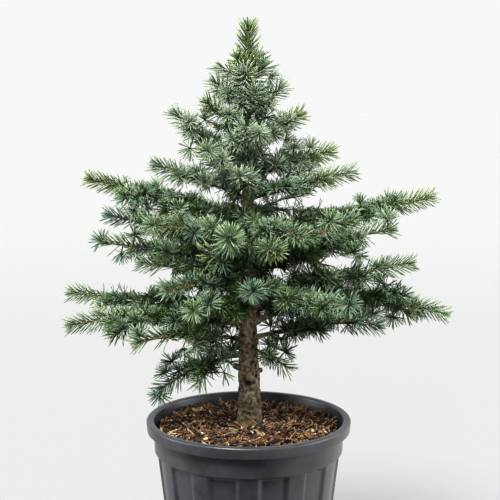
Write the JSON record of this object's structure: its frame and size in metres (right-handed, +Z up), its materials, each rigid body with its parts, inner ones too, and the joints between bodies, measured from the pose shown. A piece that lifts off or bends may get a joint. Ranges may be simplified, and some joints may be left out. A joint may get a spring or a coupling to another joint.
{
  "type": "potted atlas cedar",
  "caption": "Young blue atlas cedar with tiers of needled boughs, growing in bark mulch in a dark ribbed nursery pot.",
  "frame": {"origin": "middle of the pot's flat underside", "axes": "+Z up along the trunk, -Y towards the front that the picture shows, +X to the right of that view"},
  "size_m": [0.6137, 0.4166, 0.9008],
  "materials": {
    "pot_plastic": "moulded, satin, dark grey",
    "bark_mulch": "loose composted bark",
    "bark": "young cedar bark, scaly below and smooth above",
    "needles": "waxy blue-green needles"
  },
  "bodies": {
    "root": {"bough_hem_left": "bark", "bough_high_left": "bark", "bough_high_right": "bark", "bough_low_front_right": "bark", "bough_low_left": "bark", "bough_low_left_front": "bark", "bough_low_left_rear": "bark", "bough_low_right": "bark", "bough_low_right_front": "bark", "bough_mid_front": "bark", "bough_mid_left": "bark", "bough_mid_right": "bark", "foliage_crest_front": "needles", "foliage_crest_left": "needles", "foliage_crest_right": "needles", "foliage_hem_left": "needles", "foliage_hem_right": "needles", "foliage_high_front_right": "needles", "foliage_high_left": "needles", "foliage_high_left_front": "needles", "foliage_high_rear_left": "needles", "foliage_high_right": "needles", "foliage_leader": "needles", "foliage_low_front": "needles", "foliage_low_front_left": "needles", "foliage_low_front_right": "needles", "foliage_low_left": "needles", "foliage_low_left_front": "needles", "foliage_low_left_rear": "needles", "foliage_low_rear": "needles", "foliage_low_rear_left": "needles", "foliage_low_rear_right": "needles", "foliage_low_right": "needles", "foliage_low_right_front": "needles", "foliage_mid_front": "needles", "foliage_mid_front_low": "needles", "foliage_mid_front_right": "needles", "foliage_mid_left": "needles", "foliage_mid_left_front": "needles", "foliage_mid_left_low": "needles", "foliage_mid_left_rear": "needles", "foliage_mid_rear": "needles", "foliage_mid_rear_left": "needles", "foliage_mid_rear_right": "needles", "foliage_mid_right": "needles", "foliage_mid_right_high": "needles", "foliage_top_front": "needles", "foliage_top_left": "needles", "foliage_top_rear": "needles", "foliage_top_right": "needles", "foliage_upper_front_left": "needles", "foliage_upper_left": "needles", "foliage_upper_left_high": "needles", "foliage_upper_rear_left": "needles", "foliage_upper_rear_right": "needles", "foliage_upper_right": "needles", "foliage_upper_right_rear": "needles", "pot": "pot_plastic", "soil": "bark_mulch", "trunk": "bark"}
  },
  "joints": []
}
